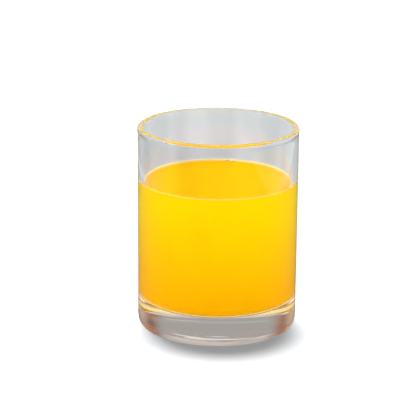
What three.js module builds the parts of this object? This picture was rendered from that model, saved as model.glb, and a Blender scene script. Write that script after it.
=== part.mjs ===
// Straight-sided whisky tumbler in heavy pressed glass, holding orange juice.
// Millimetres, +Z up. The origin is on the glass's axis, on the surface that it stands on.
import * as THREE from 'three';

// Glass outside
const bodyDiameter = 76;
const glassHeight = 97;
const heelWidth = 2.2;
const heelHeight = 5;

// Fire-polished rim: a slight bead that swells out of the wall on both faces
const rimWall = 2.5;
const beadSwell = 0.15;
const beadLength = 2.5;

// Glass inside: a drafted wall, a rounded corner and a slightly dished floor
const footWall = 2.9;
const floorThickness = 11.6;
const cornerRadius = 6;
const floorDishRadius = 400;

// Underside: a flat standing ring round a shallow dished recess
const standingRingWidth = 5;
const recessDepth = 0.42;
const recessEdgeLength = 3;

// Juice: its level below the rim, and the meniscus that climbs the wall
const headspace = 26.7;
const meniscusRise = 1.3;
const meniscusWidth = 3;
const meniscusLip = 0.4;
const juiceClearance = 0.3;

// Facets
const turnFacets = 72;
const curveSteps = 4;

const bodyRadius = bodyDiameter / 2;
const rimRadius = rimWall / 2 + beadSwell;
const beadTop = glassHeight - rimRadius;
const beadFoot = beadTop - beadLength;

// Inside corner: its arc is tangent to the wall's foot and to the dished floor
const dishCentreZ = floorThickness + floorDishRadius;
const cornerX = bodyRadius - footWall - cornerRadius;
const cornerZ = dishCentreZ - Math.sqrt((floorDishRadius - cornerRadius) ** 2 - cornerX ** 2);
const cornerEnd = Math.atan2(cornerZ - dishCentreZ, cornerX);

// Radius of the inside wall at a height, along its straight draft
function wallRadius(z) {
  const climb = (z - cornerZ) / (beadFoot - cornerZ);
  return bodyRadius - THREE.MathUtils.lerp(footWall, rimWall, climb);
}

// Continues an outline from the wall's foot round the corner and over the floor to the axis.
// The inset moves the whole surface into the hollow, so that the juice lies parallel to the glass.
function lineHollow(outline, inset) {
  outline.lineTo(wallRadius(cornerZ) - inset, cornerZ);
  outline.absarc(cornerX, cornerZ, cornerRadius - inset, 0, cornerEnd, true);
  outline.absarc(0, dishCentreZ, floorDishRadius - inset, cornerEnd, -Math.PI / 2, true);
}

// Turns an outline, drawn as radius and height, about the upright axis
function revolve(points) {
  const profile = points.map(({ x, y }) => new THREE.Vector2(Math.max(x, 0), y));
  profile[0].x = 0;
  profile[profile.length - 1].x = 0;
  return new THREE.LatheGeometry(profile, turnFacets).rotateX(Math.PI / 2);
}

// The tumbler's outline runs from the recess out over the ring and heel, up the outside,
// over the rim and down the inside.
function tumblerGeometry() {
  const ringOuter = bodyRadius - heelWidth;
  const ringInner = ringOuter - standingRingWidth;
  const rimMiddle = bodyRadius - rimWall / 2;
  const beadHalf = beadLength / 2;
  const outline = new THREE.Path();
  outline.moveTo(0, recessDepth);
  outline.bezierCurveTo(
    ringInner / 2, recessDepth,
    ringInner - recessEdgeLength, 0,
    ringInner, 0,
  );
  outline.lineTo(ringOuter, 0);
  outline.absellipse(ringOuter, heelHeight, heelWidth, heelHeight, -Math.PI / 2, 0, false);
  outline.lineTo(bodyRadius, beadFoot);
  outline.bezierCurveTo(
    bodyRadius, beadFoot + beadHalf,
    bodyRadius + beadSwell, beadTop - beadHalf,
    bodyRadius + beadSwell, beadTop,
  );
  outline.absarc(rimMiddle, beadTop, rimRadius, 0, Math.PI, false);
  outline.bezierCurveTo(
    rimMiddle - rimRadius, beadTop - beadHalf,
    bodyRadius - rimWall, beadFoot + beadHalf,
    bodyRadius - rimWall, beadFoot,
  );
  lineHollow(outline, 0);
  return revolve(outline.getPoints(curveSteps));
}

// The juice's outline runs from the middle of its surface out to the meniscus,
// down the wall and back to the axis over the floor.
function juiceGeometry() {
  const level = glassHeight - headspace;
  const contactZ = level + meniscusRise;
  const contactRadius = wallRadius(contactZ) - juiceClearance;
  const outline = new THREE.Path();
  outline.moveTo(0, level);
  outline.lineTo(contactRadius - meniscusWidth, level);
  outline.quadraticCurveTo(contactRadius - meniscusLip, level, contactRadius, contactZ);
  lineHollow(outline, juiceClearance);
  return revolve(outline.getPoints(curveSteps).reverse());
}

const tumbler = new THREE.Mesh(
  tumblerGeometry(),
  new THREE.MeshStandardMaterial({ color: 0xd8dcdd, roughness: 0.04, metalness: 0 }),
);
tumbler.name = 'tumbler';

const juice = new THREE.Mesh(
  juiceGeometry(),
  new THREE.MeshStandardMaterial({ color: 0xfec800, roughness: 0.15, metalness: 0 }),
);
juice.name = 'orange_juice';

const whiskyGlass = new THREE.Group();
whiskyGlass.add(tumbler, juice);

export default whiskyGlass;
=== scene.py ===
import math

import bmesh
import bpy
from mathutils import Matrix, Vector


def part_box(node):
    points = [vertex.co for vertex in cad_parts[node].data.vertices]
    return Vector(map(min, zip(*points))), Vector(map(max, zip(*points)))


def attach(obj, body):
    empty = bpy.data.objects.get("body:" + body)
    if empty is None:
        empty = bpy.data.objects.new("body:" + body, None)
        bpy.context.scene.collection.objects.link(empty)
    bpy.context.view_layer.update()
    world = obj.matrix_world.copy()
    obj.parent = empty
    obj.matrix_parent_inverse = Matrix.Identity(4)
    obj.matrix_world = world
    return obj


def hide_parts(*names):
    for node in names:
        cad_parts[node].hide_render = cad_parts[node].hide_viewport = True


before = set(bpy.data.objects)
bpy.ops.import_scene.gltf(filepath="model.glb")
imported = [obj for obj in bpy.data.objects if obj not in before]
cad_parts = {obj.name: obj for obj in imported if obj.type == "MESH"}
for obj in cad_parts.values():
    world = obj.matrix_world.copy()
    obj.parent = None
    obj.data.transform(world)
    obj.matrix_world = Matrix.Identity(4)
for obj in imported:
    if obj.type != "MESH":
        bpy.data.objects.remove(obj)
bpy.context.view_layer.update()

mm = 0.001
tiny = 1e-7  # metres: points closer than this are one point


# Camera, at the photograph's angle. Pixels are those of a 420 by 420 image.
cameraSettings = {
    "imageSide": 420,
    "lens": 157.5,
    "distance": 878.5 * mm,
    "elevation": math.radians(16.92),
    "roll": math.radians(0.57),
    "aimHeight": 48 * mm,
    "aimPixel": (217.48, 225.24),  # where the aimed point lies in the image
}


def makeCamera(settings):
    camera = bpy.data.objects.new("photoCamera", bpy.data.cameras.new("photoCamera"))
    bpy.context.scene.collection.objects.link(camera)
    away = settings["distance"]
    tilt = settings["elevation"]
    eye = Vector((0, -away * math.cos(tilt), settings["aimHeight"] + away * math.sin(tilt)))
    turn = Matrix.Rotation(math.pi / 2 - tilt, 4, "X") @ Matrix.Rotation(settings["roll"], 4, "Z")
    camera.matrix_world = Matrix.Translation(eye) @ turn
    side = settings["imageSide"]
    camera.data.lens = settings["lens"]
    camera.data.shift_x = (side / 2 - settings["aimPixel"][0]) / side
    camera.data.shift_y = (settings["aimPixel"][1] - side / 2) / side
    bpy.context.scene.camera = camera


makeCamera(cameraSettings)
print("camera placed")


# Outline helpers: each returns points as (radius, height)
def linePoints(start, end, edge=0.4 * mm, edgeShare=0.25, steps=6):
    # extra points close to both ends keep the shading of a long straight stretch straight
    near = min(edge / math.dist(start, end), edgeShare)
    middle = [near + (1 - 2 * near) * i / steps for i in range(1, steps)]
    shares = [0, near, *middle, 1 - near, 1]
    return [(start[0] + (end[0] - start[0]) * s, start[1] + (end[1] - start[1]) * s) for s in shares]


def arcPoints(centre, across, begin, finish, tall=None, steps=24):
    tall = across if tall is None else tall
    angles = [begin + (finish - begin) * i / steps for i in range(steps + 1)]
    return [(centre[0] + across * math.cos(a), centre[1] + tall * math.sin(a)) for a in angles]


def bezierPoints(a, b, c, d, steps=20):
    points = []
    for i in range(steps + 1):
        t = i / steps
        weights = ((1 - t) ** 3, 3 * t * (1 - t) ** 2, 3 * t * t * (1 - t), t ** 3)
        points.append(tuple(sum(w * p[k] for w, p in zip(weights, (a, b, c, d))) for k in (0, 1)))
    return points


def joinPoints(*stretches):
    outline = []
    for stretch in stretches:
        for point in stretch:
            if not outline or math.dist(outline[-1], point) > tiny:
                outline.append(point)
    return outline


# Mesh helpers
def objectFrom(bm, name):
    for face in bm.faces:
        face.smooth = True
    mesh = bpy.data.meshes.new(name)
    bm.to_mesh(mesh)
    bm.free()
    made = bpy.data.objects.new(name, mesh)
    bpy.context.scene.collection.objects.link(made)
    return made


def turnOutline(name, outline, segments=192):
    # revolves an outline that starts and ends on the axis into one closed mesh
    bm = bmesh.new()
    angles = [2 * math.pi * i / segments for i in range(segments)]
    spokes = [(math.cos(a), math.sin(a)) for a in angles]
    rings = []
    for radius, height in outline:
        if radius < tiny:
            rings.append([bm.verts.new((0, 0, height))] * segments)
        else:
            rings.append([bm.verts.new((radius * x, radius * y, height)) for x, y in spokes])
    for low, high in zip(rings, rings[1:]):
        for i in range(segments):
            j = (i + 1) % segments
            corners = [low[i], low[j], high[j], high[i]]
            bm.faces.new(list(dict.fromkeys(corners)))  # a corner on the axis counts once
    bmesh.ops.recalc_face_normals(bm, faces=bm.faces)
    return objectFrom(bm, name)


# Node helpers: a value is a number, a colour or another node's output
def setValue(tree, socket, value):
    if isinstance(value, bpy.types.NodeSocket):
        tree.links.new(value, socket)
    else:
        socket.default_value = value


def mathNode(tree, operation, *values):
    node = tree.nodes.new("ShaderNodeMath")
    node.operation = operation
    for socket, value in zip(node.inputs, values):
        setValue(tree, socket, value)
    return node.outputs[0]


def vectorNode(tree, operation, *values):
    node = tree.nodes.new("ShaderNodeVectorMath")
    node.operation = operation
    for socket, value in zip(node.inputs, values):
        setValue(tree, socket, value)
    return node.outputs


def rangeNode(tree, value, fromLow, fromHigh, toLow=0.0, toHigh=1.0, kind="SMOOTHSTEP"):
    node = tree.nodes.new("ShaderNodeMapRange")
    node.interpolation_type = kind
    limits = {"Value": value, "From Min": fromLow, "From Max": fromHigh, "To Min": toLow, "To Max": toHigh}
    for label, limit in limits.items():
        setValue(tree, node.inputs[label], limit)
    return node.outputs["Result"]


def between(tree, share, first, second):
    # straight from the first value at a share of 0 to the second at 1
    return rangeNode(tree, share, 0.0, 1.0, first, second, "LINEAR")


def mixColours(tree, share, first, second):
    mix = tree.nodes.new("ShaderNodeMix")
    mix.data_type = "RGBA"
    # the colours are inputs 6 and 7 and output 2, after the sockets for numbers and vectors
    for socket, value in ((mix.inputs["Factor"], share), (mix.inputs[6], first), (mix.inputs[7], second)):
        setValue(tree, socket, value)
    return mix.outputs[2]


def noiseNode(tree, place, scale, detail):
    noise = tree.nodes.new("ShaderNodeTexNoise")
    tree.links.new(place, noise.inputs["Vector"])
    setValue(tree, noise.inputs["Scale"], scale)
    noise.inputs["Detail"].default_value = detail
    return noise.outputs["Fac"]


def objectPlace(tree, stretch=None):
    place = tree.nodes.new("ShaderNodeTexCoord").outputs["Object"]
    if stretch is None:
        return place
    return vectorNode(tree, "MULTIPLY", place, stretch)["Vector"]


def bumpNode(tree, height, distance):
    bump = tree.nodes.new("ShaderNodeBump")
    bump.inputs["Distance"].default_value = distance
    tree.links.new(height, bump.inputs["Height"])
    return bump.outputs["Normal"]


def newGroup(name, inputs, outputs):
    group = bpy.data.node_groups.new(name, "ShaderNodeTree")
    for label, value in inputs.items():
        socket = group.interface.new_socket(label, in_out="INPUT", socket_type="NodeSocketFloat")
        socket.default_value = value
    for label in outputs:
        group.interface.new_socket(label, in_out="OUTPUT", socket_type="NodeSocketFloat")
    start = group.nodes.new("NodeGroupInput")
    end = group.nodes.new("NodeGroupOutput")
    return group, start.outputs, end.inputs


def useGroup(tree, group, values):
    node = tree.nodes.new("ShaderNodeGroup")
    node.node_tree = group
    for label, value in values.items():
        node.inputs[label].default_value = value
    return node.outputs


def newMaterial(name):
    material = bpy.data.materials.new(name)
    material.use_nodes = True
    return material, material.node_tree, material.node_tree.nodes["Principled BSDF"].inputs


def showMix(tree, share, other):
    # shows the material's own shader, and the other one where the share is 1
    mix = tree.nodes.new("ShaderNodeMixShader")
    tree.links.new(share, mix.inputs["Fac"])
    tree.links.new(tree.nodes["Principled BSDF"].outputs["BSDF"], mix.inputs[1])
    tree.links.new(other, mix.inputs[2])
    tree.links.new(mix.outputs["Shader"], tree.nodes["Material Output"].inputs["Surface"])


# Tumbler
tumblerSettings = {
    "heelWidth": 2.2 * mm,
    "heelHeight": 5 * mm,
    "rimWall": 2.5 * mm,
    "beadSwell": 0.15 * mm,
    "beadLength": 2.5 * mm,
    "footWall": 2.9 * mm,
    "floorThickness": 11.6 * mm,
    "cornerRadius": 6 * mm,
    "floorDishRadius": 400 * mm,
    "standingRingWidth": 5 * mm,
    "recessDepth": 0.42 * mm,
    "recessEdgeLength": 3 * mm,
    "clear": (1.0, 1.0, 1.0, 1),
    "upperShade": (0.78, 0.805, 0.81, 1),  # wall above the juice: painted shade, greyer than the glass elsewhere
    "upperStreakReflection": (0.90, 0.92, 0.92, 1),  # its paler streaks, painted reflections of bright panels
    "base": (0.97, 0.90, 0.845, 1),  # thick base, with painted warm light from the juice
    "upperFade": (0.2 * mm, 2.7 * mm),  # above the juice's level
    "baseFade": (1.4 * mm, 10.4 * mm),  # above the hollow's floor
    "passing": (0.94, 0.94, 0.94, 1),  # share of light that gets through each face
    "ior": 1.52,
    "plainReflection": (1.0, 1.0, 1.0, 1),
    # painted reflections: yellow tints that give the glass's reflections the juice's colour
    "upperReflection": (1.0, 0.95, 0.15, 1),
    "juiceReflection": (1.0, 0.8, 0.1, 1),  # in front of the juice; both yellow tints are painted reflections of the juice's colour
    "ripple": {"Waves per Metre": 60, "Rings per Metre": 600, "Haze per Metre": 150},
    "waveStretch": (1, 1, 0.15),  # long up the wall
    "waveDetail": 1,
    "waveHeight": 0.02 * mm,
    "rimWaveShare": 0.2,
    # wave heights that give the painted reflection streaks
    "streakRange": (0.35, 0.65),
    "ringStretch": (0.06, 0.06, 1),  # long round the base
    "ringDetail": 1,
    "ringHeight": 0.22 * mm,
    "hazeStretch": (1, 1, 0.6),
    "hazeDetail": 4,
    "hazeRange": (0.45, 0.75),
    "hazeRoughness": 0.02,
}

# Juice
juiceSettings = {
    "headspace": 26.7 * mm,
    "meniscusRise": 1.3 * mm,
    "meniscusWidth": 3 * mm,
    "meniscusLip": 0.4 * mm,
    "wetGap": 0.03 * mm,
    "freeTilt": 0.2,  # least upward part of the normal on the free surface
    "freeDepth": 1 * mm,  # how far below the level the free surface may lie
    # painted light: yellower towards the top, where light from above glows through the juice, and oranger
    # towards the bottom
    "top": (1.0, 0.65, 0.0, 1),
    "bottom": (1.0, 0.43, 0.0, 1),
    # painted shade: the free surface is oranger than the juice beside it
    "surface": (1.0, 0.488, 0.0, 1),
    "filmAndHighlight": (1.0, 0.84, 0.42, 1),  # thin juice that climbs the wall: paler, and partly a painted highlight along the meniscus
    "filmStart": 0.1 * mm,  # above the level, on the free surface
    "filmHeight": 1.2 * mm,  # of the pale edge seen through the wall, partly a painted highlight
    "filmShare": 0.3,
    "fade": (8 * mm, 72 * mm),  # heights between the bottom colour and the top colour of the painted light
    "pulp": {"Clouds per Metre": 80, "Specks per Metre": 900},
    "cloudStretch": (1, 1, 0.7),
    "cloudDetail": 3,
    "cloudRange": (0.3, 0.7),
    "cloudShade": 0.97,  # darkest share of the colour among the clouds
    "speckDetail": 2,
    "speckRange": (0.5, 0.75),
    "speckColour": (1.0, 0.72, 0.0, 1),
    "speckShare": 0.12,
    "speckHeight": 0.03 * mm,
    "surfaceRoughness": (0.04, 0.12),
    "sideRoughness": 0.5,
    "ior": 1.35,
}

tumblerLow, tumblerHigh = (Vector(corner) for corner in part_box("tumbler"))
glassHeight = tumblerHigh.z
bodyRadius = (tumblerHigh.x - tumblerLow.x) / 2 - tumblerSettings["beadSwell"]
rimRadius = tumblerSettings["rimWall"] / 2 + tumblerSettings["beadSwell"]
beadTop = glassHeight - rimRadius
beadFoot = beadTop - tumblerSettings["beadLength"]
dishCentre = tumblerSettings["floorThickness"] + tumblerSettings["floorDishRadius"]
cornerX = bodyRadius - tumblerSettings["footWall"] - tumblerSettings["cornerRadius"]
cornerSpan = tumblerSettings["floorDishRadius"] - tumblerSettings["cornerRadius"]
cornerZ = dishCentre - math.sqrt(cornerSpan ** 2 - cornerX ** 2)
cornerEnd = math.atan2(cornerZ - dishCentre, cornerX)
juiceLevel = glassHeight - juiceSettings["headspace"]
contactZ = juiceLevel + juiceSettings["meniscusRise"]


def wallRadius(z):
    # inside radius of the drafted wall at a height
    climb = (z - cornerZ) / (beadFoot - cornerZ)
    wall = tumblerSettings["footWall"] + (tumblerSettings["rimWall"] - tumblerSettings["footWall"]) * climb
    return bodyRadius - wall


def hollowPoints(topZ, inset):
    # wall from topZ down, round the corner and over the floor to the axis
    top = (wallRadius(topZ) - inset, topZ)
    foot = (wallRadius(cornerZ) - inset, cornerZ)
    return joinPoints(
        linePoints(top, foot),
        arcPoints((cornerX, cornerZ), tumblerSettings["cornerRadius"] - inset, 0, cornerEnd),
        arcPoints((0, dishCentre), tumblerSettings["floorDishRadius"] - inset, cornerEnd, -math.pi / 2),
    )


def tumblerOutline(shape):
    heelTop = shape["heelHeight"]
    ringOuter = bodyRadius - shape["heelWidth"]
    ringInner = ringOuter - shape["standingRingWidth"]
    rimMiddle = bodyRadius - shape["rimWall"] / 2
    outer = bodyRadius + shape["beadSwell"]
    inner = bodyRadius - shape["rimWall"]
    crown = rimMiddle - rimRadius
    half = shape["beadLength"] / 2
    depth = shape["recessDepth"]
    edge = ringInner - shape["recessEdgeLength"]
    return joinPoints(
        bezierPoints((0, depth), (ringInner / 2, depth), (edge, 0), (ringInner, 0)),
        linePoints((ringInner, 0), (ringOuter, 0)),
        arcPoints((ringOuter, heelTop), shape["heelWidth"], -math.pi / 2, 0, heelTop),
        linePoints((bodyRadius, heelTop), (bodyRadius, beadFoot)),
        bezierPoints(
            (bodyRadius, beadFoot), (bodyRadius, beadFoot + half),
            (outer, beadTop - half), (outer, beadTop),
        ),
        arcPoints((rimMiddle, beadTop), rimRadius, 0, math.pi),
        bezierPoints(
            (crown, beadTop), (crown, beadTop - half),
            (inner, beadFoot + half), (inner, beadFoot),
        ),
        linePoints((inner, beadFoot), (wallRadius(contactZ), contactZ)),
        hollowPoints(contactZ, 0),
    )


def juiceOutline(shape):
    contact = wallRadius(contactZ) - shape["wetGap"]
    start = (contact - shape["meniscusWidth"], juiceLevel)
    lip = (contact - shape["meniscusLip"], juiceLevel)
    end = (contact, contactZ)
    # the meniscus bends towards its lip: two thirds of the way from each end draw that curve as a cubic
    rise = bezierPoints(
        start,
        tuple(start[k] + (lip[k] - start[k]) * 2 / 3 for k in (0, 1)),
        tuple(end[k] + (lip[k] - end[k]) * 2 / 3 for k in (0, 1)),
        end,
    )
    return joinPoints(
        linePoints((0, juiceLevel), start),
        rise,
        hollowPoints(contactZ, shape["wetGap"]),
    )


# Effects that several materials use
def heightShareGroup():
    # 0 below the low height, 1 above the high one
    group, given, wanted = newGroup("heightShare", {"Low": 0.0, "High": 1.0}, ["Share"])
    split = group.nodes.new("ShaderNodeSeparateXYZ")
    group.links.new(objectPlace(group), split.inputs[0])
    group.links.new(rangeNode(group, split.outputs["Z"], given["Low"], given["High"]), wanted["Share"])
    return group


def glassRippleGroup(look):
    # slow waves that run up a pressed wall, rings round its base and the faint haze of handling
    group, given, wanted = newGroup("glassRipple", look["ripple"], ["Height", "Rings", "Haze"])
    upright = objectPlace(group, look["waveStretch"])
    waves = noiseNode(group, upright, given["Waves per Metre"], look["waveDetail"])
    group.links.new(waves, wanted["Height"])
    level = objectPlace(group, look["ringStretch"])
    rings = noiseNode(group, level, given["Rings per Metre"], look["ringDetail"])
    group.links.new(rings, wanted["Rings"])
    smeared = objectPlace(group, look["hazeStretch"])
    smear = noiseNode(group, smeared, given["Haze per Metre"], look["hazeDetail"])
    group.links.new(rangeNode(group, smear, *look["hazeRange"]), wanted["Haze"])
    return group


def juicePulpGroup(look):
    # clouds of settled pulp with fine specks
    group, given, wanted = newGroup("juicePulp", look["pulp"], ["Cloud", "Speck"])
    drifted = objectPlace(group, look["cloudStretch"])
    clouds = noiseNode(group, drifted, given["Clouds per Metre"], look["cloudDetail"])
    group.links.new(rangeNode(group, clouds, *look["cloudRange"]), wanted["Cloud"])
    specks = noiseNode(group, objectPlace(group), given["Specks per Metre"], look["speckDetail"])
    group.links.new(rangeNode(group, specks, *look["speckRange"]), wanted["Speck"])
    return group


heightShare = heightShareGroup()
glassRipple = glassRippleGroup(tumblerSettings)
juicePulp = juicePulpGroup(juiceSettings)


def shareAbove(tree, low, high):
    return useGroup(tree, heightShare, {"Low": low, "High": high})["Share"]


# Materials
def glassMaterial(name, look, reflection, outsideIor=1.0, waveShare=1.0, ringed=False):
    material, tree, sockets = newMaterial(name)
    ripple = useGroup(tree, glassRipple, look["ripple"])
    if outsideIor == 1.0:  # in air its tint changes with height: painted warm light in the thick base, and painted shade with paler painted reflection streaks above the juice; against the juice it has none
        raised = shareAbove(tree, *(look["floorThickness"] + rise for rise in look["baseFade"]))
        above = shareAbove(tree, *(juiceLevel + rise for rise in look["upperFade"]))
        # painted reflection: paler streaks where the waves run high
        streaks = rangeNode(tree, ripple["Height"], *look["streakRange"])
        shadeAndReflections = mixColours(tree, streaks, look["upperShade"], look["upperStreakReflection"])
        wall = mixColours(tree, above, look["clear"], shadeAndReflections)
        # the thick base below the raised share gets painted warm light from the juice
        tree.links.new(mixColours(tree, raised, look["base"], wall), sockets["Base Color"])
    else:
        sockets["Base Color"].default_value = look["clear"]
    tree.links.new(between(tree, ripple["Haze"], 0.0, look["hazeRoughness"]), sockets["Roughness"])
    if ringed:
        normal = bumpNode(tree, ripple["Rings"], look["ringHeight"])
    else:
        normal = bumpNode(tree, ripple["Height"], look["waveHeight"] * waveShare)
    tree.links.new(normal, sockets["Normal"])
    sockets["IOR"].default_value = look["ior"] / outsideIor
    # a yellow tint here is a painted reflection of the juice's colour
    sockets["Specular Tint"].default_value = look[reflection]
    sockets["Transmission Weight"].default_value = 1
    # light on its way to the juice and the floor goes straight through
    path = tree.nodes.new("ShaderNodeLightPath").outputs
    passing = mathNode(tree, "MAXIMUM", path["Is Shadow Ray"], path["Is Diffuse Ray"])
    through = tree.nodes.new("ShaderNodeBsdfTransparent")
    through.inputs["Color"].default_value = look["passing"]
    showMix(tree, passing, through.outputs["BSDF"])
    return material


def juiceMaterial(name, look, free):
    material, tree, sockets = newMaterial(name)
    pulp = useGroup(tree, juicePulp, look["pulp"])
    if free:
        # paler film near the wall, partly a painted highlight along the meniscus
        thin = shareAbove(tree, juiceLevel + look["filmStart"], contactZ)
        # the free surface's own colour is painted shade
        plain = mixColours(tree, thin, look["surface"], look["filmAndHighlight"])
    else:
        # painted light, lighter towards the top
        body = mixColours(tree, shareAbove(tree, *look["fade"]), look["bottom"], look["top"])
        # paler film near the contact, partly a painted highlight
        thin = shareAbove(tree, contactZ - look["filmHeight"], contactZ)
        plain = mixColours(tree, mathNode(tree, "MULTIPLY", thin, look["filmShare"]), body, look["filmAndHighlight"])
    speckShare = mathNode(tree, "MULTIPLY", pulp["Speck"], look["speckShare"])
    speckled = mixColours(tree, speckShare, plain, look["speckColour"])
    shade = between(tree, pulp["Cloud"], look["cloudShade"], 1.0)
    dim = tree.nodes.new("ShaderNodeVectorMath")
    dim.operation = "SCALE"
    tree.links.new(speckled, dim.inputs[0])
    tree.links.new(shade, dim.inputs["Scale"])
    tree.links.new(dim.outputs[0], sockets["Base Color"])
    sockets["IOR"].default_value = look["ior"]
    sockets["Specular IOR Level"].default_value = 0  # pulp makes it cloudy, without a mirror
    if free:
        tree.links.new(between(tree, pulp["Speck"], *look["surfaceRoughness"]), sockets["Roughness"])
        tree.links.new(bumpNode(tree, pulp["Speck"], look["speckHeight"]), sockets["Normal"])
    else:
        sockets["Roughness"].default_value = look["sideRoughness"]
    return material


rimWaves = tumblerSettings["rimWaveShare"]
baseGlass = glassMaterial("clearGlassBase", tumblerSettings, "plainReflection", ringed=True)
frontGlass = glassMaterial("clearGlassOverJuice", tumblerSettings, "juiceReflection")
upperGlass = glassMaterial("clearGlassUpper", tumblerSettings, "upperReflection")
rimGlass = glassMaterial("clearGlassRim", tumblerSettings, "plainReflection", waveShare=rimWaves)
wetGlass = glassMaterial("clearGlassWetted", tumblerSettings, "juiceReflection", juiceSettings["ior"])
juiceSide = juiceMaterial("juiceAgainstGlass", juiceSettings, False)
juiceTop = juiceMaterial("juiceSurface", juiceSettings, True)
print("materials made")


def glassAt(spot):
    # material of the tumbler's surface at a point on it
    wallMiddle = bodyRadius - tumblerSettings["rimWall"] / 2
    inHollow = spot.xy.length < wallMiddle and spot.z > tumblerSettings["floorThickness"] / 2
    if inHollow and spot.z < contactZ:
        return wetGlass
    if spot.z > beadFoot:
        return rimGlass
    if spot.z > contactZ:
        return upperGlass
    if spot.z > tumblerSettings["floorThickness"]:
        return frontGlass
    return baseGlass


glassParts = [baseGlass, frontGlass, upperGlass, wetGlass, rimGlass]
tumbler = turnOutline("tumblerGlass", tumblerOutline(tumblerSettings))
for material in glassParts:
    tumbler.data.materials.append(material)
for face in tumbler.data.polygons:
    face.material_index = glassParts.index(glassAt(face.center))
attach(tumbler, "root")
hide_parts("tumbler")
print("tumbler made")


def isFree(face):
    # whether a face of the juice is on its free surface
    atTop = face.center.z > juiceLevel - juiceSettings["freeDepth"]
    return atTop and face.normal.z > juiceSettings["freeTilt"]


juice = turnOutline("orangeJuice", juiceOutline(juiceSettings))
juice.data.materials.append(juiceSide)
juice.data.materials.append(juiceTop)
for face in juice.data.polygons:
    face.material_index = 1 if isFree(face) else 0
juice.visible_diffuse = False  # the photograph's shadow is neutral, so the juice doesn't tint the floor
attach(juice, "root")
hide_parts("orange_juice")
print("juice made")


# Bubbles that rest on the juice, most of them against the back of the wall
bubbleSettings = {
    "spots": [  # turn in degrees, gap to the wall, radius
        (83.4, 0.05 * mm, 0.70 * mm),
        (81.2, 0.05 * mm, 0.50 * mm),
        (78.9, 0.05 * mm, 0.80 * mm),
        (77.0, 0.10 * mm, 0.45 * mm),
        (113.6, 0.05 * mm, 0.55 * mm),
        (261.3, 7.6 * mm, 0.45 * mm),
        (266.7, 7.9 * mm, 0.35 * mm),
    ],
    "sunk": 0.35,  # share of the height below the surface
    "rings": 12,
}


def surfaceHeight(radius):
    # height of the juice's surface at a distance from the axis, about that of the meniscus near the wall
    width = juiceSettings["meniscusWidth"]
    climb = max(0, radius - wallRadius(contactZ) + width) / width
    return juiceLevel + juiceSettings["meniscusRise"] * climb ** 3


def makeBubbles(shape):
    bm = bmesh.new()
    rings = shape["rings"]
    for turn, gap, radius in shape["spots"]:
        away = wallRadius(contactZ) - gap - radius
        angle = math.radians(turn)
        height = surfaceHeight(away) + radius * (1 - 2 * shape["sunk"])
        place = Matrix.Translation((away * math.cos(angle), away * math.sin(angle), height))
        bmesh.ops.create_uvsphere(bm, u_segments=2 * rings, v_segments=rings, radius=radius, matrix=place)
    return objectFrom(bm, "juiceBubbles")


bubbles = makeBubbles(bubbleSettings)
bubbles.data.materials.append(juiceTop)
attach(bubbles, "root")
print("bubbles made")


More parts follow.
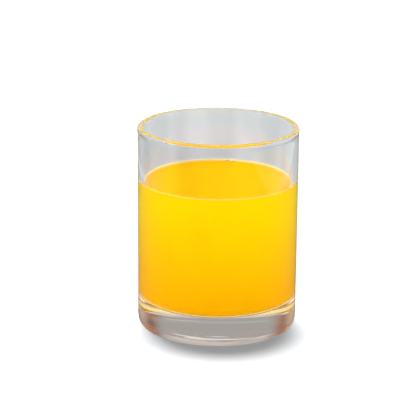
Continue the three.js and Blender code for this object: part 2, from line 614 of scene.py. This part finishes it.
# Floor and light
studio = {
    "floorSide": 6.0,
    "floorCells": 8,
    "floorLift": 0.01 * mm,  # the standing ring meets the floor without lying in one plane with it
    "floorColour": (0.79, 0.80, 0.81, 1),
    "groundInGlass": (0.785, 0.795, 0.80, 1),
    "groundUnderGlass": (1.0, 0.83, 0.38, 1),  # painted warm light from the juice on the ground under the glass
    "underReach": (0.0, 22 * mm),  # beyond the glass's side
    "groundInReflection": (0.16, 0.16, 0.16, 1),
    # strips beside the glass, as its outside mirrors them: turn in degrees,
    # and the distances from the axis to both edges
    "sideStrips": {
        "right": {
            "turn": 0, "near": 275 * mm, "far": 2.0, "softEdge": 12 * mm,
            "light": (1.3, 1.3, 1.6, 1),
        },
        "left": {
            "turn": 140, "near": 285 * mm, "far": 305 * mm, "softEdge": 10 * mm,
            "light": (0.6, 0.6, 0.7, 1),
        },
    },
    "ambient": 0.1,
    # wide panels, in degrees: turn and halfWidth round the glass, low and high above the horizon,
    # and how soft their ends and their long edges are; light is their colour times their level,
    # and inGlass the share of it that shows through glass
    "panels": {
        "frontFill": {
            "turn": -90, "halfWidth": 95, "softEnd": 6, "low": -20, "high": 13, "softEdge": 4,
            "light": (3.45, 3.45, 3.45), "inGlass": 0.25,
        },
        "frontCurtain": {
            "turn": -90, "halfWidth": 125, "softEnd": 10, "low": 13, "high": 32, "softEdge": 4,
            "light": (0.25, 0.25, 0.25),
        },
        "leftFill": {
            "turn": 180, "halfWidth": 35, "softEnd": 8, "low": -20, "high": 8, "softEdge": 4,
            "light": (3.0, 3.0, 3.0), "inGlass": 0.5,
        },
        "rightFill": {
            "turn": 0, "halfWidth": 35, "softEnd": 8, "low": -20, "high": 8, "softEdge": 4,
            "light": (3.0, 3.0, 3.0), "inGlass": 0.5,
        },
        "backGlow": {
            "turn": 90, "halfWidth": 90, "softEnd": 2, "low": 26, "high": 55, "softEdge": 2,
            "light": (0.6, 0.6, 0.6),
        },
        "backdrop": {
            "turn": 90, "halfWidth": 40, "softEnd": 10, "low": 17.5, "high": 26, "softEdge": 0.5,
            "light": (0.29, 0.30, 0.29),
        },
        "backdropFoot": {
            "turn": 90, "halfWidth": 34, "softEnd": 10, "low": -20, "high": 17.5, "softEdge": 0.5,
            "light": (0.45, 0.43, 0.42),
        },
        "lowStrip": {
            "turn": 90, "halfWidth": 40, "softEnd": 8, "low": 11.5, "high": 13.5, "softEdge": 0.5,
            "light": (0.15, 0.15, 0.15),
        },
        "leftCard": {
            "turn": 146, "halfWidth": 18, "softEnd": 6, "low": -20, "high": 21, "softEdge": 3,
            "light": (0.24, 0.04, 0.0),
        },
        "rightCard": {
            "turn": 34, "halfWidth": 18, "softEnd": 6, "low": -20, "high": 21, "softEdge": 3,
            "light": (0.24, 0.04, 0.0),
        },
    },
    # round panel overhead, a little behind and to the left, from its full middle to its outer edge
    "key": {
        "turn": 100, "rise": 76, "inner": 3.5, "outer": 9,
        "light": (82.0, 82.0, 82.0), "inReflection": 0.06,
    },
    "bounces": 64,  # light runs along the glass wall by many inner reflections
    "glassBounces": 48,
    "diffuseBounces": 8,
}


def mirroredGround(tree, settings):
    # the ground as the outside of the glass mirrors it, with a strip on either side
    ground = settings["groundInReflection"]
    for strip in settings["sideStrips"].values():
        side = math.radians(strip["turn"])
        outwards = (math.cos(side), math.sin(side), 0)
        distance = vectorNode(tree, "DOT_PRODUCT", objectPlace(tree), outwards)["Value"]
        soft = strip["softEdge"]
        beyond = rangeNode(tree, distance, strip["near"] - soft, strip["near"] + soft)
        before = rangeNode(tree, distance, strip["far"] + soft, strip["far"] - soft)
        ground = mixColours(tree, mathNode(tree, "MULTIPLY", beyond, before), ground, strip["light"])
    return ground


def floorMaterial(settings):
    material, tree, sockets = newMaterial("paleFloor")
    sockets["Base Color"].default_value = settings["floorColour"]
    sockets["Roughness"].default_value = 1
    sockets["Specular IOR Level"].default_value = 0
    # seen through glass or in a reflection, the ground is plain, apart from a painted warm pool of juice
    # light under the glass; seen directly, it keeps the shadow
    path = tree.nodes.new("ShaderNodeLightPath").outputs
    indirect = mathNode(tree, "MAXIMUM", path["Is Glossy Ray"], path["Is Transmission Ray"])
    away = vectorNode(tree, "LENGTH", objectPlace(tree))["Value"]
    clearOf = rangeNode(tree, away, *(bodyRadius + reach for reach in settings["underReach"]))
    refracted = mixColours(tree, clearOf, settings["groundUnderGlass"], settings["groundInGlass"])
    within = mathNode(tree, "GREATER_THAN", path["Transmission Depth"], 0.5)  # one face of glass or more
    plain = tree.nodes.new("ShaderNodeEmission")
    shown = mixColours(tree, within, mirroredGround(tree, settings), refracted)
    tree.links.new(shown, plain.inputs["Color"])
    showMix(tree, indirect, plain.outputs["Emission"])
    return material


def makeFloor(settings):
    bm = bmesh.new()
    cells = settings["floorCells"]
    bmesh.ops.create_grid(bm, x_segments=cells, y_segments=cells, size=settings["floorSide"] / 2)
    floor = objectFrom(bm, "floor")
    floor.location.z = settings["floorLift"]
    floor.data.materials.append(floorMaterial(settings))


def addLight(tree, light, share, more):
    return vectorNode(tree, "MULTIPLY_ADD", share, more, light)["Vector"]


def panelShare(tree, panel, turn, rise):
    # 1 on the panel and 0 off it, for a direction given by its turn and its rise in degrees
    end, edge = panel["softEnd"], panel["softEdge"]
    offset = mathNode(tree, "WRAP", mathNode(tree, "SUBTRACT", turn, panel["turn"]), 180, -180)
    away = mathNode(tree, "ABSOLUTE", offset)
    across = rangeNode(tree, away, panel["halfWidth"] + end, panel["halfWidth"] - end)
    above = rangeNode(tree, rise, panel["low"] - edge, panel["low"] + edge)
    below = rangeNode(tree, rise, panel["high"] + edge, panel["high"] - edge)
    return mathNode(tree, "MULTIPLY", across, mathNode(tree, "MULTIPLY", above, below))


def discShare(tree, disc, direction):
    # 1 in the middle of a round panel and 0 past its outer edge
    height, side = math.radians(disc["rise"]), math.radians(disc["turn"])
    level = math.cos(height)
    middle = (level * math.cos(side), level * math.sin(side), math.sin(height))
    towards = vectorNode(tree, "DOT_PRODUCT", direction, middle)["Value"]
    return rangeNode(tree, towards, *(math.cos(math.radians(disc[edge])) for edge in ("outer", "inner")))


def makeSky(settings):
    world = bpy.data.worlds.new("studio")
    bpy.context.scene.world = world
    world.use_nodes = True
    tree = world.node_tree
    direction = tree.nodes.new("ShaderNodeTexCoord").outputs["Generated"]
    split = tree.nodes.new("ShaderNodeSeparateXYZ")
    tree.links.new(direction, split.inputs[0])
    turn = mathNode(tree, "DEGREES", mathNode(tree, "ARCTAN2", split.outputs["Y"], split.outputs["X"]))
    rise = mathNode(tree, "DEGREES", mathNode(tree, "ARCSINE", split.outputs["Z"]))
    path = tree.nodes.new("ShaderNodeLightPath").outputs
    light = (settings["ambient"],) * 3
    for panel in settings["panels"].values():
        share = panelShare(tree, panel, turn, rise)
        if "inGlass" in panel:
            faint = between(tree, path["Is Transmission Ray"], 1, panel["inGlass"])
            share = mathNode(tree, "MULTIPLY", share, faint)
        light = addLight(tree, light, share, panel["light"])
    key = settings["key"]
    faint = between(tree, path["Is Glossy Ray"], 1, key["inReflection"])
    share = mathNode(tree, "MULTIPLY", discShare(tree, key, direction), faint)
    light = addLight(tree, light, share, key["light"])
    tree.links.new(light, tree.nodes["Background"].inputs["Color"])


makeFloor(studio)
makeSky(studio)
bpy.context.scene.view_settings.view_transform = "Standard"
lightPaths = bpy.context.scene.cycles
lightPaths.max_bounces = studio["bounces"]
lightPaths.glossy_bounces = studio["glassBounces"]
lightPaths.transmission_bounces = studio["glassBounces"]
lightPaths.diffuse_bounces = studio["diffuseBounces"]
print("studio lit")
